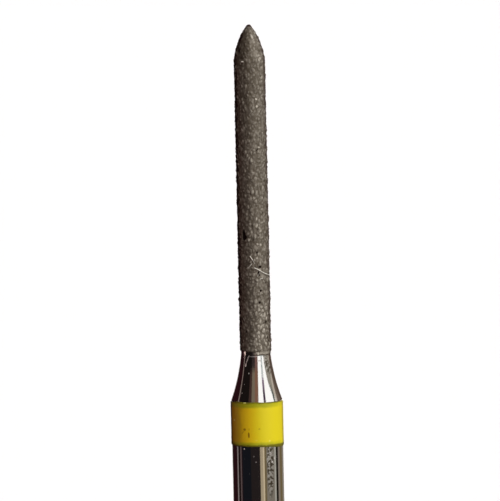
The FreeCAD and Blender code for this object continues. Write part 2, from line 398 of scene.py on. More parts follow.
def makeGlow(name, verts, faces, colour):
    # A sheet that only mirrored rays see
    card = addMesh(name, verts, faces)
    material, tree, shader = newMaterial(name)
    tree.nodes.remove(shader)
    glow = addNode(tree, "ShaderNodeEmission", {"Color": (*colour, 1)})
    tree.links.new(glow.outputs[0], tree.nodes["Material Output"].inputs["Surface"])
    card.data.materials.append(material)
    card.visible_camera = False
    card.visible_diffuse = False
    card.visible_shadow = False


def makeCard(name, number, colour, levels):
    # A curved strip of the tent round the bur
    steps = max(2, round((levels[0][2] - levels[0][1]) / stage["tentFacet"]))
    nearer = stage["tentStep"] * number
    rows = [(stage["tentRadius"] - nearer, *level) for level in levels]
    if levels[0][0] == 0:
        rows[0] = (stage["tentRadius"] - nearer, stage["tentFloorGap"] + nearer, *levels[0][1:])
        rows.insert(0, (stage["tentGap"], *rows[0][1:]))
    verts, faces = [], []
    for radius, height, start, end in rows:
        for turn in np.radians(np.linspace(start, end, steps + 1)):
            verts.append(atAngle(radius, turn, height) * mm)
    for row in range(len(rows) - 1):
        for i in range(row * (steps + 1), row * (steps + 1) + steps):
            faces.append((i, i + 1, i + steps + 2, i + steps + 1))
    makeGlow(name, verts, faces, colour)


def makeSheet(name, height, colour):
    # A round sheet across the tent
    turns = np.radians(np.arange(0, 360, 10))
    verts = [atAngle(stage["tentRadius"] + 1, turn, height) * mm for turn in turns]
    makeGlow(name, verts, [tuple(range(len(verts)))], colour)


makeFloor()
makeWorld()
makeLamp("key")
makeLamp("back")
for number, (cardName, (cardColour, cardLevels)) in enumerate(stripCards.items()):
    makeCard(cardName, number, cardColour, cardLevels)
makeSheet("tentLid", stage["tentLidHeight"], stage["tentLid"])
print(f"stage ready: floor, two lamps and {len(stripCards)} cards")


# Shader groups for the finishes

def makePlaceGroup():
    # Where a point is on the bur: millimetres, angle round it, distance from the axis, and height
    outputs = {"Millimetres": "Vector", "Angle": "Float", "Reach": "Float", "Height": "Float"}
    group, _, leaving = newGroup("placeOnBur", {}, outputs)
    place = addNode(group, "ShaderNodeTexCoord").outputs["Object"]
    scaled = addNode(group, "ShaderNodeVectorMath", {0: place, "Scale": 1 / mm}, operation="SCALE").outputs[0]
    parts = addNode(group, "ShaderNodeSeparateXYZ", {0: scaled}).outputs
    front = times(group, parts["Y"], -1.0)
    angle = maths(group, "ARCTAN2", parts["X"], front)
    degrees = maths(group, "DEGREES", angle)
    reach = lengthOf(group, parts["X"], front)
    group.links.new(scaled, leaving.inputs["Millimetres"])
    group.links.new(degrees, leaving.inputs["Angle"])
    group.links.new(reach, leaving.inputs["Reach"])
    group.links.new(parts["Z"], leaving.inputs["Height"])
    return group


placeGroup = makePlaceGroup()


def makeMarkGroup():
    # A soft-edged mark at one place of the surface, with a ragged rim. Width and Length are half sizes in
    # millimetres, and Turn leans the mark's top to the right
    inputs = {"Angle": 0.0, "Height": 0.0, "Width": 0.1, "Length": 0.1, "Turn": 0.0, "Ragged": 0.3}
    group, entry, leaving = newGroup("markOnBur", inputs, {"Mask": "Float"})
    place = useGroup(group, placeGroup)
    wanted = entry.outputs
    aside = maths(group, "SUBTRACT", place["Angle"], wanted["Angle"])
    aside = times(group, maths(group, "RADIANS", aside), place["Reach"])
    above = maths(group, "SUBTRACT", place["Height"], wanted["Height"])
    turn = maths(group, "RADIANS", wanted["Turn"])
    sine = maths(group, "SINE", turn)
    cosine = maths(group, "COSINE", turn)
    across = times(group, aside, cosine)
    across = maths(group, "SUBTRACT", across, times(group, above, sine))
    along = times(group, aside, sine)
    along = maths(group, "ADD", along, times(group, above, cosine))
    across = maths(group, "DIVIDE", across, wanted["Width"])
    along = maths(group, "DIVIDE", along, wanted["Length"])
    rimScale = 22.0
    gone, full = 1.15, 0.75  # the mark fades between these distances, in half sizes
    rim = maths(group, "SUBTRACT", noiseOf(group, place["Millimetres"], rimScale, 3.0), 0.5)
    rim = times(group, rim, wanted["Ragged"])
    distance = maths(group, "ADD", lengthOf(group, across, along), rim)
    group.links.new(rampBetween(group, distance, gone, full), leaving.inputs["Mask"])
    return group


markGroup = makeMarkGroup()


def makeSpeckGroup():
    # Small scattered specks: Density is how many a millimetre, Share how many of them show
    inputs = {"Density": 5.0, "Share": 0.2, "Size": 0.1}
    group, entry, leaving = newGroup("scatteredSpecks", inputs, {"Mask": "Float"})
    place = useGroup(group, placeGroup)
    wanted = entry.outputs
    cells = {"Vector": place["Millimetres"], "Scale": wanted["Density"]}
    cells = addNode(group, "ShaderNodeTexVoronoi", cells).outputs
    chosen = addNode(group, "ShaderNodeSeparateColor", {0: cells["Color"]}).outputs
    shown = maths(group, "LESS_THAN", chosen[0], wanted["Share"])
    size = times(group, wanted["Size"], maths(group, "ADD", chosen[1], 0.5))
    away = maths(group, "DIVIDE", cells["Distance"], size)
    inside = maths(group, "SUBTRACT", 1.0, away, clamp=True)
    mask = times(group, rampBetween(group, inside, 0.0, 0.5), shown)
    group.links.new(mask, leaving.inputs["Mask"])
    return group


speckGroup = makeSpeckGroup()


def addMarks(tree, marks):
    # The strongest of several marks, each (angle, height, half width, half length, turn, ragged, strength)
    total = None
    for angle, height, width, length, turn, ragged, strength in marks.values():
        mark = useGroup(tree, markGroup, Angle=angle, Height=height, Width=width, Length=length,
                        Turn=turn, Ragged=ragged)
        mask = times(tree, mark["Mask"], strength)
        total = mask if total is None else maths(tree, "MAXIMUM", total, mask)
    return total


# Steel blank: shank, neck and the core inside the head

steelBlank = {
    "shankRadius": 0.80,
    "endChamfer": 0.15,
    "seatDepth": 0.03,
    "seatDip": 0.010,
    "neckCollar": 0.10,
    "neckArcRadius": 6.1,
    "coreRadius": 0.46,
    "coreInset": 0.03,  # the core's nose stays this far under the tip
    "columns": 256,
    "neckRows": 40,
    "sharpAngle": 32.0,
    "colour": (0.70, 0.685, 0.665),
    "roughness": 0.07,
    "cloudSpread": (0.8, 1.4),  # roughness in the clearest and the cloudiest places, as shares of it
    "lineDepth": 0.0000006,  # metres, grinding lines
    "lineStretch": (0.6, 0.6, 42.0),
    "cloudScale": 3.0,  # noise scales are per millimetre
    "mottleScale": 12.0,
    "specks": {"Density": 7.0, "Share": 0.08, "Size": 0.12},
    "speckStrength": 0.12,
    "dullRoughness": 0.30,
    "dustRoughness": 0.70,
    "stainColour": (0.15, 0.13, 0.10),
    "dustColour": (0.62, 0.58, 0.55),
}

# Marks on the neck and shank: angle, height, half width, half length, turn, ragged, strength
steelStains = {
    "wornPatch": (46, 12.28, 0.12, 0.27, -14, 0.8, 0.9),
    "wornRim": (34, 12.58, 0.05, 0.035, 0, 0.6, 0.9),
    "wornStreak": (48, 12.50, 0.018, 0.12, 0, 0.5, 0.8),
    "shankPatch": (29, 9.15, 0.125, 1.0, 0, 0.5, 1.0),
}
steelDust = {
    "slantScratchTop": (-30, 12.59, 0.016, 0.06, 32, 0.4, 0.45),
    "slantScratch": (-35.5, 12.46, 0.015, 0.11, 24, 0.4, 0.6),
    "slantScratchFoot": (-39.5, 12.33, 0.026, 0.055, 12, 0.3, 1.0),
    "collarLine": (-11, 12.60, 0.15, 0.014, 0, 0.8, 0.22),
    "underSpot": (-49, 12.60, 0.020, 0.09, 0, 0.4, 0.35),
    "tanSpot": (8, 12.71, 0.045, 0.06, 0, 0.3, 0.7),
    "yellowSpot": (13, 12.47, 0.05, 0.025, 0, 0.5, 0.5),
    "neckSpeckOne": (-24.5, 12.08, 0.022, 0.024, 0, 0.5, 0.35),
    "neckSpeckTwo": (-40.1, 11.47, 0.020, 0.020, 0, 0.5, 0.35),
    "neckSpeckThree": (-36.4, 11.74, 0.018, 0.018, 0, 0.5, 0.2),
    "shankSpeckOne": (-31.9, 9.72, 0.026, 0.028, 0, 0.5, 0.75),
    "shankSpeckTwo": (-8.9, 9.49, 0.024, 0.028, 0, 0.5, 0.15),
    "shankSpeckThree": (30.5, 9.56, 0.026, 0.055, 0, 0.5, 0.55),
    "shankSpeckFour": (41, 9.40, 0.024, 0.045, 0, 0.5, 0.35),
    "shankSpeckFive": (34, 9.30, 0.024, 0.035, 0, 0.5, 0.35),
    "shankSpeckSix": (-4.5, 9.31, 0.026, 0.022, 0, 0.5, 0.18),
}

headShape = {
    "radius": 0.49,
    "pointLength": 1.11,
    "pointArcRadius": 2.30,
    "noseRadius": 0.095,
}


def headOutline(inset, straightStep, curveStep):
    # (radius, height) from the head's foot to just before its tip, inset under the coating's surface
    nose = (0.0, tip - headShape["noseRadius"])
    shoulder = (headShape["radius"], tip - headShape["pointLength"])
    arc = headShape["pointArcRadius"]
    centre = centreLeftOf(shoulder, arc, nose, arc - headShape["noseRadius"])
    meeting = angleFrom(centre, nose)
    sideRadius = headShape["radius"] - inset
    start = math.acos((sideRadius - centre[0]) / (arc - inset))
    sideTop = centre[1] + (arc - inset) * math.sin(start)
    count = max(2, round((sideTop - headFoot) / straightStep))
    side = [(sideRadius, z) for z in np.linspace(headFoot, sideTop, count)]
    count = max(4, round((arc - inset) * (meeting - start) / curveStep))
    ogive = arcPoints(centre, arc - inset, start, meeting, count)[1:]
    noseRadius = headShape["noseRadius"] - inset
    count = max(4, round(noseRadius * (math.pi / 2 - meeting) / curveStep))
    end = arcPoints(nose, noseRadius, meeting, math.pi / 2, count + 1)[1:-1]
    return side + ogive + end


def steelProfile():
    shank = steelBlank["shankRadius"]
    core = steelBlank["coreRadius"]
    seat = shank - steelBlank["seatDepth"]
    chamfer = steelBlank["endChamfer"]
    profile = [(shank - chamfer, 0.0), (shank, chamfer)]
    profile += [(shank, z) for z in np.linspace(chamfer, ringFoot, 20)[1:]]
    for share in np.linspace(0, 1, 7):
        dip = steelBlank["seatDip"] * 4 * share * (1 - share)
        profile.append((seat - dip, ringFoot + (ringTop - ringFoot) * share))
    collarFoot = (core, headFoot - steelBlank["neckCollar"])
    arc = steelBlank["neckArcRadius"]
    centre = centreLeftOf(collarFoot, arc, (shank, ringTop), arc)
    foot = angleFrom(centre, (shank, ringTop)) % (2 * math.pi)
    top = angleFrom(centre, collarFoot) % (2 * math.pi)
    profile += arcPoints(centre, arc, foot, top, steelBlank["neckRows"])
    return profile + headOutline(steelBlank["coreInset"], 1.0, 0.05)


def makeSteelMaterial():
    material, tree, shader = newMaterial("polishedSteel")
    place = useGroup(tree, placeGroup)
    stretch = stretched(tree, place["Millimetres"], steelBlank["lineStretch"])
    lines = noiseOf(tree, stretch, 1.0, 3.0)
    cloud = noiseOf(tree, place["Millimetres"], steelBlank["cloudScale"], 4.0)
    mottle = noiseOf(tree, place["Millimetres"], steelBlank["mottleScale"], 2.5)
    stains = addMarks(tree, steelStains)
    specks = useGroup(tree, speckGroup, **steelBlank["specks"])["Mask"]
    specks = times(tree, specks, steelBlank["speckStrength"])
    dust = maths(tree, "MAXIMUM", addMarks(tree, steelDust), specks)
    base = steelBlank["roughness"]
    clear, cloudy = steelBlank["cloudSpread"]
    roughness = rampBetween(tree, cloud, 0.35, 0.7, base * clear, base * cloudy)
    roughness = rampBetween(tree, stains, 0.0, 1.0, roughness, steelBlank["dullRoughness"])
    roughness = rampBetween(tree, dust, 0.0, 0.5, roughness, steelBlank["dustRoughness"])
    tree.links.new(roughness, shader.inputs["Roughness"])
    blotches = times(tree, rampBetween(tree, mottle, 0.54, 0.47), stains)
    colour = mixColours(tree, blotches, steelBlank["colour"], steelBlank["stainColour"])
    colour = mixColours(tree, dust, colour, steelBlank["dustColour"])
    tree.links.new(colour, shader.inputs["Base Color"])
    tree.links.new(maths(tree, "SUBTRACT", 1.0, dust), shader.inputs["Metallic"])
    bumpFrom(tree, shader, lines, steelBlank["lineDepth"])
    return material


steelPiece = turnedPiece("steel_blank_polished", steelProfile(), steelBlank["columns"], 0.0,
                         tip - steelBlank["coreInset"])
smoothUpTo(steelPiece, steelBlank["sharpAngle"])
steelPiece.data.materials.append(makeSteelMaterial())
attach(steelPiece, "root")
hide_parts("steel_blank")
print(f"steel blank: {len(steelPiece.data.polygons)} faces")


# Colour band

colourBand = {
    "rimRadius": 0.824,
    "rimDip": 0.001,
    "lowerFoot": 0.012,
    "rimRounding": 0.018,
    "seatRadius": 0.766,  # inside the steel's seat
    "edgeWave": 0.016,
    "waveScale": 2.2,
    "sharpAngle": 50.0,
    "columns": 256,
    "middleRows": 33,
    "edgeRows": 9,
    "edgeShare": 0.06,  # the rows are close together this near to each edge
    "colour": (0.665, 0.555, 0.012),
    "leftWarmShade": (0.76, 0.52, 0.010),  # painted shade: the band's left side, away from the key lamp, turns warmer
    # painted shade: darker still further to the left
    "leftDeepShade": (0.56, 0.38, 0.008),
    "leftWarmShadeAngles": (18, -16),  # from none of it to all of it
    "leftDeepShadeAngles": (-24, -40),
    "backAngles": (-165, -100),  # both fade out here, short of the seam at the back
    "rimColour": (0.37, 0.37, 0.010),
    "edgeShadeColour": (0.13, 0.12, 0.008),
    "shadeColour": (0.030, 0.012, 0.004),  # what shows where the band turns away
    "markColour": (0.24, 0.12, 0.004),
    "paleColour": (0.85, 0.80, 0.25),
    "topRim": 0.16,
    "bottomRim": 0.145,
    "rimSoftness": 0.05,
    "topEdgeShade": 0.07,  # painted shade along the top edge, how far in it fades
    "bottomEdgeShade": (0.04, 0.095),  # painted shade along the bottom edge: dark up to the first, gone at the second
    "roughness": 0.38,
    "specular": 0.22,
    "cloudScale": 5.0,
    "cloudShift": 14.0,  # degrees that a cloud moves the tints
    "uneven": 0.07,  # and millimetres that it moves the edges
    "grainScale": 30.0,
    "grainDepth": 0.000002,  # metres
}

# Where the lacquer's edges run off level: edge, angle, half width in degrees, rise
bandRuns = {
    "footSag": ("foot", 64, 60, -0.054),
    "topSwell": ("top", -8, 22, 0.015),
    "topSag": ("top", 94, 64, -0.062),
    "topSagLeft": ("top", -94, 46, -0.045),
}
bandMarks = {
    "speck": (-29.0, 10.34, 0.045, 0.040, 0, 0.7, 0.8),
    "scratch": (-19.3, 10.165, 0.028, 0.095, 0, 0.3, 1.0),
    "faintSpeck": (4.4, 10.36, 0.035, 0.035, 0, 0.6, 0.35),
    "faintSmear": (-33.5, 10.25, 0.022, 0.07, 45, 0.6, 0.35),
    "faintStroke": (-18.4, 10.35, 0.022, 0.045, 0, 0.6, 0.30),
}
bandPaleSpots = {
    "lowSpot": (-2.5, 10.00, 0.035, 0.02, 0, 0.5, 0.18),
    "lowSpotRight": (27.5, 9.97, 0.035, 0.03, 0, 0.5, 0.25),
    "leftSpot": (-60.3, 10.61, 0.05, 0.035, 0, 0.5, 0.6),
    "topSpot": (-27.5, 11.18, 0.05, 0.02, 0, 0.5, 0.6),
}


def makeBand():
    high = ringTop - ringFoot
    close = colourBand["edgeShare"]
    foot = np.linspace(0, close, colourBand["edgeRows"])
    middle = np.linspace(close, 1 - close, colourBand["middleRows"])[1:-1]
    shares = np.concatenate([foot, middle, 1 - foot[::-1]])
    columns = colourBand["columns"]
    radii, heights = [], []
    rounding = colourBand["rimRounding"]
    for share in shares:
        inward = max(0.0, rounding - min(share, 1 - share) * high)
        corner = rounding - math.sqrt(max(0.0, rounding**2 - inward**2))
        dip = colourBand["rimDip"] * 4 * share * (1 - share)
        row = []
        rowHeights = []
        for column in range(columns):
            turn = column / columns * 2 * math.pi
            # Each edge has its own slow wave, from another layer of the noise
            around = Vector((math.sin(turn), math.cos(turn), 0)) * colourBand["waveScale"]
            wave = noise.noise(around + Vector((0, 0, 7 if share > 0.5 else 3)))
            shift = colourBand["edgeWave"] * wave * (2 * share - 1) - colourBand["lowerFoot"] * (1 - share)
            for edge, angle, halfWidth, rise in bandRuns.values():
                aside = degreesFrom(turn, angle)
                if abs(aside) < halfWidth:
                    near = share if edge == "top" else 1 - share
                    shift += rise * near**4 * math.cos(aside / halfWidth * math.pi / 2)**2
            row.append(colourBand["rimRadius"] - dip - corner)
            rowHeights.append(ringFoot + high * share + shift)
        radii.append(row)
        heights.append(rowHeights)
    seat = [colourBand["seatRadius"]] * columns
    radii = np.array([seat] + radii + [seat, seat])
    heights = np.array([heights[0]] + heights + [heights[-1], heights[0]])
    return wrapGrid("colour_band", radii, heights)


def makeBandMaterial():
    material, tree, shader = newMaterial("yellowLacquer")
    place = useGroup(tree, placeGroup)
    cloud = noiseOf(tree, place["Millimetres"], colourBand["cloudScale"], 4.0)
    angle = maths(tree, "ADD", place["Angle"], times(tree, cloud, colourBand["cloudShift"]))
    backFade = rampBetween(tree, angle, *colourBand["backAngles"])
    colour = colourBand["colour"]
    # Painted shade: warmer, then darker, towards the band's left side
    for tint in ("leftWarmShade", "leftDeepShade"):
        mask = rampBetween(tree, angle, *colourBand[tint + "Angles"])
        colour = mixColours(tree, times(tree, mask, backFade), colour, colourBand[tint])
    uneven = times(tree, maths(tree, "SUBTRACT", cloud, 0.5), colourBand["uneven"])
    fromFoot = maths(tree, "ADD", maths(tree, "SUBTRACT", place["Height"], ringFoot - 0.02), uneven)
    fromTop = maths(tree, "ADD", maths(tree, "SUBTRACT", ringTop, place["Height"]), uneven)
    paler = rampBetween(tree, angle, 15, 75, 1.0, 0.4)
    soft = colourBand["rimSoftness"]
    for edge, rim in ((fromTop, colourBand["topRim"]), (fromFoot, colourBand["bottomRim"])):
        mask = times(tree, rampBetween(tree, edge, rim + soft, rim - soft), paler)
        colour = mixColours(tree, mask, colour, colourBand["rimColour"])
    # Painted shade along both edges, where the band meets the steel
    dark, clear = colourBand["bottomEdgeShade"]
    topEdgeShade = rampBetween(tree, fromTop, colourBand["topEdgeShade"], 0.0)
    bottomEdgeShade = rampBetween(tree, fromFoot, clear, dark)
    for mask in (topEdgeShade, bottomEdgeShade):
        colour = mixColours(tree, mask, colour, colourBand["edgeShadeColour"])
    facing = addNode(tree, "ShaderNodeLayerWeight", {"Blend": 0.5}).outputs["Facing"]
    shade = rampBetween(tree, angle, -45, 45, 0.95, 0.35)
    shade = times(tree, rampBetween(tree, facing, 0.60, 0.80), shade)
    colour = mixColours(tree, shade, colour, colourBand["shadeColour"])
    colour = mixColours(tree, addMarks(tree, bandMarks), colour, colourBand["markColour"])
    colour = mixColours(tree, addMarks(tree, bandPaleSpots), colour, colourBand["paleColour"])
    tree.links.new(colour, shader.inputs["Base Color"])
    shader.inputs["Specular IOR Level"].default_value = colourBand["specular"]
    shader.inputs["Roughness"].default_value = colourBand["roughness"]
    grain = noiseOf(tree, place["Millimetres"], colourBand["grainScale"])
    bumpFrom(tree, shader, grain, colourBand["grainDepth"])
    return material


bandPiece = makeBand()
smoothUpTo(bandPiece, colourBand["sharpAngle"])
bandPiece.data.materials.append(makeBandMaterial())
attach(bandPiece, "root")
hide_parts("colour_ring")
print(f"colour band: {len(bandPiece.data.polygons)} faces")


# Diamond head

gritHead = {
    "columns": 168,
    "rowStep": 0.0186,
    "grainSpacing": 0.098,
    "grainStretch": 1.35,  # grains are this much taller than wide
    "rowSpacing": 0.87,  # rows of grains, in grain spacings
    "sideJitter": 1.1,  # how far grains stray from their row and place, in spacings
    "heightJitter": 1.3,
    "sizeJitter": 0.45,
    "flankWidth": 0.65,  # a grain's sloping side, in spacings
    "grainRelief": 0.0115,
    "lowestGrain": 0.45,  # share of grainRelief
    "tallPower": 0.8,  # under 1 makes tall grains more common
    "middleLevel": 0.42,
    "facetTilt": 0.22,
    "clusterRelief": 0.010,
    "clusterScales": (6.5, 13.0),
    "slowRelief": 0.005,
    "slowScales": (1.6, 4.0),
    "tipRelief": 0.25,  # share of the relief at the tip
    "tipFade": 0.5,  # it grows over this length
    "deepest": 0.026,  # nothing reaches the steel core under the grit
    "raggedFoot": 0.035,
    "raggedScales": (9.0, 23.0),
    "filmThickness": 0.013,  # plated metal on the collar under the grit
    "filmLength": 0.165,
    "filmRelief": 0.010,
    "innerRadius": 0.452,
    "seed": 11,
    "binderColour": (0.148, 0.126, 0.099),
    # painted shade in the voids and pits
    "voidShadeColour": (0.015, 0.008, 0.006),
    # colour of the random dark patches, and also of the painted shade
    "shadeColour": (0.070, 0.055, 0.036),
    "grainColour": (0.270, 0.244, 0.203),
    "paleGrain": (0.50, 0.46, 0.39),
    "rimColour": (0.030, 0.009, 0.011),  # painted shade: the last grains before the outline are seen from their dark side
    "metallic": 0.62,
    "roughness": 0.58,
    "specular": 0.25,
    "patchStretch": (11.0, 11.0, 7.5),
    "palePatches": (0.50, 0.68, 0.0, 0.28),  # ramps: value at start and end, then strength there
    "darkPatches": (0.47, 0.33, 0.0, 0.50),
    "paleTones": (0.90, 1.0, 0.0, 0.55),
    "litGrains": (0.05, 0.85, 0.10, 1.70),
    "voidShadeRamp": (-0.3, -1.1),
    "rimRamp": (0.44, 0.70),
    "fineScale": 60.0,
    "fineDepth": 0.000002,  # metres
}

# Places where grit is missing, and lumps that stand out: angle, height, half width, half length, depth
gritVoids = {
    "bigVoid": (-36.5, 16.44, 0.060, 0.19, 0.034),
    "bigVoidFoot": (-34.5, 16.35, 0.085, 0.11, 0.034),
    "pitA": (14.5, 15.87, 0.050, 0.040, 0.024),
    "pitB": (23.0, 15.42, 0.065, 0.042, 0.024),
    "pitC": (17.9, 15.20, 0.038, 0.095, 0.026),
    "pitD": (18.9, 14.30, 0.045, 0.045, 0.020),
    "pitE": (24.3, 14.67, 0.045, 0.038, 0.018),
}
gritNubs = {
    "nubA": (-86, 16.15, 0.06, 0.06, 0.018),
    "nubB": (-88, 14.90, 0.06, 0.05, 0.016),
    "nubC": (-87, 14.40, 0.05, 0.05, 0.014),
    "nubD": (-88, 13.01, 0.06, 0.06, 0.018),
    "nubE": (87, 14.38, 0.05, 0.05, 0.014),
    "nubF": (88, 13.06, 0.06, 0.06, 0.018),
}

# Lighter grit, and in the last entry painted light over the head's lower right: angle, height, half width,
# half length, turn, ragged, strength
gritLights = {
    "streakLow": (-1.0, 15.10, 0.035, 0.20, 6, 0.6, 0.44),
    "streakHigh": (6.0, 17.60, 0.032, 0.30, 0, 0.6, 0.22),
    "streakCurl": (16.5, 15.78, 0.022, 0.13, 28, 0.4, 0.50),
    "arcOne": (12.0, 17.28, 0.080, 0.028, 12, 0.6, 0.50),
    "arcTwo": (24.0, 17.20, 0.040, 0.040, -30, 0.6, 0.60),
    "spotOne": (14.0, 16.93, 0.035, 0.075, 0, 0.6, 0.50),
    "spotTwo": (14.0, 16.70, 0.045, 0.055, 0, 0.6, 0.65),
    "spotThree": (26.0, 16.58, 0.028, 0.045, 10, 0.6, 0.40),
    "spotFour": (14.0, 16.15, 0.035, 0.060, 20, 0.6, 0.55),
    "spotFive": (28.0, 16.12, 0.032, 0.060, 0, 0.6, 0.50),
    "spotSix": (23.0, 15.77, 0.050, 0.050, 20, 0.6, 0.65),
    "spotSeven": (20.0, 14.66, 0.035, 0.045, 0, 0.6, 0.65),
    "spotEight": (33.0, 14.62, 0.030, 0.070, 0, 0.6, 0.45),
    "paleRight": (50.0, 18.83, 0.060, 0.060, 0, 0.5, 0.45),
    "paleTip": (39.0, 21.98, 0.060, 0.100, 0, 0.6, 0.60),
    "footRightLit": (31.0, 12.9, 0.34, 1.35, 0, 0.5, 0.44),
}
# Painted glints on single grains, in the same order
gritGlints = {
    "glintOne": (22.5, 20.70, 0.036, 0.036, 0, 0.3, 1.0),
    "glintTwo": (24.5, 20.465, 0.038, 0.036, 0, 0.3, 1.0),
    "glintThree": (29.5, 19.18, 0.045, 0.028, 10, 0.5, 0.8),
    "glintFour": (-57.0, 18.65, 0.035, 0.035, 0, 0.3, 1.0),
    "glintFive": (50.0, 21.365, 0.036, 0.055, 0, 0.4, 0.75),
    "glintSix": (51.0, 21.69, 0.030, 0.050, 0, 0.4, 0.40),
    "glintTip": (22.0, 22.63, 0.030, 0.060, 0, 0.5, 0.75),
    "collarGlint": (9.0, 12.70, 0.045, 0.050, 0, 0.3, 1.0),
}
# Painted shade over the upper head, the tip's left and the right side, in the same order
gritShades = {
    "upperHead": (0.0, 20.9, 0.34, 1.50, 0, 0.5, 0.30),
    "tipLeft": (-30.0, 22.36, 0.23, 0.50, 0, 0.5, 0.60),
    "rightSide": (27.0, 18.4, 0.11, 1.45, 0, 0.5, 0.30),
}


def spotShare(spots, turn, height, radius):
    # Depth or height of the spots at a place, in millimetres
    total = 0.0
    for angle, middle, width, length, size in spots.values():
        aside = math.radians(degreesFrom(turn, angle)) * radius
        reach = math.hypot(aside / width, (height - middle) / length)
        if reach < 1:
            total = max(total, size * min(1.0, 2.2 * (1 - reach)))
    return total


def onGrit(radius, turn, height):
    # A place in the space where grains are as tall as wide
    return atAngle(radius, turn, height / gritHead["grainStretch"])


def twoNoises(place, scales, second):
    return noise.noise(place * scales[0]) + second * noise.noise(place * scales[1])


def grainCentres(rng, outline, spacing):
    # One grain a spacing apart along the outline and round it, each moved a little at random
    centres = []
    walked = 0.0
    rowStep = spacing * gritHead["rowSpacing"]
    for (r0, z0), (r1, z1) in zip(outline, outline[1:]):
        step = math.hypot(r1 - r0, (z1 - z0) / gritHead["grainStretch"])
        walked += step
        while walked > rowStep:
            walked -= rowStep
            share = 1 - walked / step if step else 1
            radius, height = r0 + (r1 - r0) * share, z0 + (z1 - z0) * share
            count = max(1, round(2 * math.pi * radius / spacing))
            start = rng.random()
            for number in range(count):
                stray = gritHead["sideJitter"] * (rng.random() - 0.5)
                turn = (number + start + stray) / count * 2 * math.pi
                lift = spacing * gritHead["heightJitter"] * (rng.random() - 0.5)
                centres.append(onGrit(radius, turn, height + lift))
    return centres


def makeGrit():
    rng = np.random.default_rng(gritHead["seed"])
    outline = headOutline(0.0, gritHead["rowStep"], gritHead["rowStep"])
    filmFoot = headFoot - gritHead["filmLength"]
    below = np.arange(filmFoot, headFoot - 0.001, gritHead["rowStep"])
    outline = [(headShape["radius"], z) for z in below] + outline
    columns = gritHead["columns"]
    spacing = gritHead["grainSpacing"]
    centres = grainCentres(rng, outline, spacing)
    tree = kdtree.KDTree(len(centres))
    for number, centre in enumerate(centres):
        tree.insert(centre, number)
    tree.balance()
    tall = rng.random(len(centres)) ** gritHead["tallPower"]
    wide = (rng.random(len(centres)) - 0.5) * spacing * gritHead["sizeJitter"]
    tilt = rng.normal(0, gritHead["facetTilt"], (len(centres), 3))
    tone = rng.random(len(centres))
    turns = np.arange(columns) / columns * 2 * math.pi
    lowest = gritHead["lowestGrain"]
    inner = gritHead["innerRadius"]
    bare = inner - 0.002 - headShape["radius"]  # just under the steel
    radii, heights, reliefs, tones = [], [], [], []
    for index, (radius, height) in enumerate(outline):
        before = outline[max(index - 1, 0)]
        after = outline[min(index + 1, len(outline) - 1)]
        out = Vector((after[1] - before[1], before[0] - after[0])).normalized()
        nearTip = min(1.0, gritHead["tipRelief"] + (tip - height) / gritHead["tipFade"])
        row = np.zeros((4, columns))
        for column, turn in enumerate(turns):
            place = onGrit(radius, turn, height)
            near = [(away - wide[number], number, centre) for centre, number, away in tree.find_n(place, 4)]
            near.sort(key=lambda found: found[:2])
            (nearest, grain, centre), (second, _, _) = near[:2]
            edge = min(1.0, (second - nearest) / (spacing * gritHead["flankWidth"]))
            edge = edge * edge * (3 - 2 * edge)
            facet = Vector(tilt[grain]).dot(place - centre) / gritHead["grainRelief"]
            relief = edge * (lowest + (1 - lowest) * tall[grain] + facet)
            cluster = twoNoises(place, gritHead["clusterScales"], 0.6)
            slow = twoNoises(place, gritHead["slowScales"], 0.5)
            lift = gritHead["grainRelief"] * (relief - gritHead["middleLevel"])
            lift += gritHead["clusterRelief"] * cluster + gritHead["slowRelief"] * slow
            lift = (lift + 0.002) * nearTip - 0.002
            ragged = twoNoises(place, gritHead["raggedScales"], 0.6)
            cover = (height - headFoot) / gritHead["raggedFoot"] + 1.3 * ragged
            cover = min(1.0, max(0.0, cover + 0.6))
            film = min(1.0, max(0.0, 2.2 * math.sin(turn) + 0.3 + 0.9 * ragged))
            film *= min(1.0, max(0.0, (height - filmFoot) / 0.03 - 0.5))
            thin = bare + gritHead["filmRelief"] + (gritHead["filmThickness"] + 0.2 * lift) * film
            hole = spotShare(gritVoids, turn, height, radius)
            lift = max(lift + spotShare(gritNubs, turn, height, radius) - hole, -gritHead["deepest"])
            lift = lift * cover + (thin if film > 0.02 else bare) * (1 - cover)
            # The shade value carries painted shade: holes push it very low, and so does the film's foot,
            # which gives a dark line there
            shade = relief + 0.25 * cluster - hole / 0.010
            filmShade = min(0.2 + 0.4 * film + 0.5 * ragged, (height - filmFoot) / 0.04 - 1.6)
            shade = shade * cover + filmShade * (1 - cover)
            row[:, column] = (radius + out.x * lift, min(tip, height + out.y * lift), shade, tone[grain])
        radii.append(row[0])
        heights.append(row[1])
        reliefs.append(row[2])
        tones.append(row[3])
    wall = [(inner, tip - 1.5), (inner, tip - 6.0), (inner, filmFoot)]
    radii = np.array([np.full(columns, r) for r, _ in wall] + radii)
    heights = np.array([np.full(columns, z) for _, z in wall] + heights)
    piece = wrapGrid("diamond_grit", radii, heights, tip - 1.4, tip - 0.002)
    for name, rows in (("grainRelief", reliefs), ("grainTone", tones)):
        values = np.concatenate([np.zeros(columns * len(wall)), np.array(rows).ravel(), [0, 0.5]])
        attribute = piece.data.attributes.new(name, "FLOAT", "POINT")
        attribute.data.foreach_set("value", values.astype(np.float32))
    piece.data.shade_smooth()
    return piece


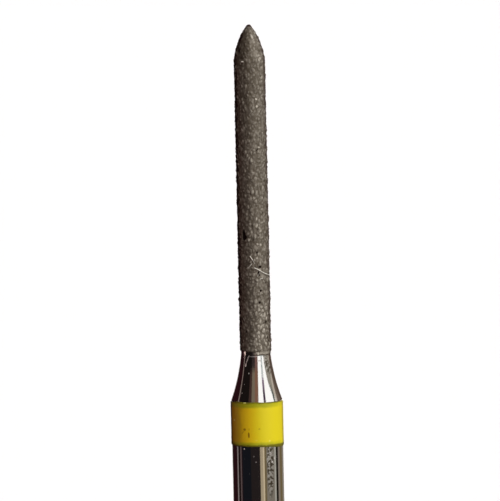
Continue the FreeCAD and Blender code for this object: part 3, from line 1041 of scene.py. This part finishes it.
def makeGritMaterial():
    material, tree, shader = newMaterial("diamondGrit")
    place = useGroup(tree, placeGroup)
    relief = addNode(tree, "ShaderNodeAttribute", attribute_name="grainRelief").outputs["Fac"]
    tone = addNode(tree, "ShaderNodeAttribute", attribute_name="grainTone").outputs["Fac"]
    grains = rampBetween(tree, relief, 0.1, 0.9)
    colour = mixColours(tree, grains, gritHead["binderColour"], gritHead["grainColour"])
    pale = rampBetween(tree, tone, *gritHead["paleTones"])
    colour = mixColours(tree, times(tree, pale, grains), colour, gritHead["paleGrain"])
    stretch = stretched(tree, place["Millimetres"], gritHead["patchStretch"])
    patches = noiseOf(tree, stretch, 1.0)
    mask = rampBetween(tree, patches, *gritHead["palePatches"])
    colour = mixColours(tree, mask, colour, gritHead["paleGrain"])
    mask = rampBetween(tree, patches, *gritHead["darkPatches"])
    colour = mixColours(tree, mask, colour, gritHead["shadeColour"])
    # Painted shade over parts of the head
    colour = mixColours(tree, addMarks(tree, gritShades), colour, gritHead["shadeColour"])
    # Lighter grit and painted light, then painted glints, all in the pale grain colour
    onGrains = rampBetween(tree, relief, *gritHead["litGrains"])
    lights = times(tree, addMarks(tree, gritLights), onGrains)
    lights = maths(tree, "MAXIMUM", lights, addMarks(tree, gritGlints))
    colour = mixColours(tree, lights, colour, gritHead["paleGrain"])
    # Painted shade in the pits and voids, and along the film's foot
    mask = rampBetween(tree, relief, *gritHead["voidShadeRamp"])
    colour = mixColours(tree, mask, colour, gritHead["voidShadeColour"])
    # Painted shade along the outline, wider and stronger on the left
    rim = addNode(tree, "ShaderNodeLayerWeight", {"Blend": 0.5}).outputs["Facing"]
    rim = maths(tree, "ADD", rim, rampBetween(tree, place["Angle"], -30, 30, 0.09, 0.0))
    strength = rampBetween(tree, place["Angle"], -30, 30, 1.0, 0.7)
    rim = times(tree, rampBetween(tree, rim, *gritHead["rimRamp"]), strength)
    colour = mixColours(tree, rim, colour, gritHead["rimColour"])
    # Painted shade on the very tip
    mask = rampBetween(tree, place["Height"], tip - 0.10, tip - 0.04, 0.0, 0.9)
    colour = mixColours(tree, mask, colour, gritHead["rimColour"])
    tree.links.new(colour, shader.inputs["Base Color"])
    fine = noiseOf(tree, place["Millimetres"], gritHead["fineScale"], 3.0)
    bumpFrom(tree, shader, fine, gritHead["fineDepth"])
    shader.inputs["Roughness"].default_value = gritHead["roughness"]
    shader.inputs["Metallic"].default_value = gritHead["metallic"]
    shader.inputs["Specular IOR Level"].default_value = gritHead["specular"]
    return material


gritPiece = makeGrit()
gritPiece.data.materials.append(makeGritMaterial())
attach(gritPiece, "root")
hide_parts("diamond_coating")
print(f"diamond head: {len(gritPiece.data.polygons)} faces")


# Lint caught on the grit

# Each: thickness, then points as angle, height and lift over the head's surface
lintFibres = {
    "lint_long": (0.034, [(1, 15.395, 0.012), (12, 15.36, 0.026), (26, 15.275, 0.026), (48, 15.18, 0.026),
                          (71, 15.125, 0.026)]),
    "lint_long_head": (0.046, [(2, 15.395, 0.012), (8, 15.375, 0.026), (16, 15.335, 0.020)]),
    "lint_curl": (0.036, [(-14, 15.775, 0.008), (-10.5, 15.74, 0.024), (-7, 15.69, 0.024),
                          (-4, 15.65, 0.006)]),
    "lint_curl_end": (0.014, [(-4.5, 15.66, 0.014), (-1, 15.59, 0.014), (4, 15.53, 0.004)]),
    "lint_branch": (0.013, [(24, 15.29, 0.004), (19, 15.22, 0.018), (14, 15.12, 0.003)]),
    "lint_faint": (0.018, [(-6, 15.54, 0.006), (-12, 15.49, 0.018), (-18, 15.41, 0.018),
                           (-27, 15.37, 0.006)]),
    "lint_speck": (0.046, [(-29, 21.87, 0.010), (-26, 21.875, 0.016), (-22, 21.87, 0.010)]),
    "lint_fleck": (0.022, [(22, 15.04, 0.006), (28, 15.06, 0.018), (34, 15.06, 0.006)]),
}
lintFinish = {
    "colour": (0.42, 0.40, 0.35),
    "paleColour": (0.60, 0.58, 0.51),
    "cloudScale": 18.0,
    "roughness": 0.8,
}


def makeLintMaterial():
    material, tree, shader = newMaterial("paleLint")
    place = useGroup(tree, placeGroup)
    cloud = noiseOf(tree, place["Millimetres"], lintFinish["cloudScale"])
    mask = rampBetween(tree, cloud, 0.35, 0.65)
    colour = mixColours(tree, mask, lintFinish["colour"], lintFinish["paleColour"])
    tree.links.new(colour, shader.inputs["Base Color"])
    shader.inputs["Roughness"].default_value = lintFinish["roughness"]
    return material


lintMaterial = makeLintMaterial()
for lintName, (thickness, places) in lintFibres.items():
    data = bpy.data.curves.new(lintName, "CURVE")
    data.dimensions = "3D"
    data.bevel_depth = thickness / 2 * mm
    data.bevel_resolution = 2
    spline = data.splines.new("NURBS")
    spline.points.add(len(places) - 1)
    for knot, (angle, height, lift) in zip(spline.points, places):
        place = atAngle(headShape["radius"] + lift, math.radians(angle), height)
        knot.co = (*(place * mm), 1)
    spline.order_u = 3
    spline.use_endpoint_u = True
    spline.resolution_u = 6
    data.use_fill_caps = True
    data.materials.append(lintMaterial)
    fibre = addObject(lintName, data)
    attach(fibre, "root")
print(f"lint: {len(lintFibres)} fibres")
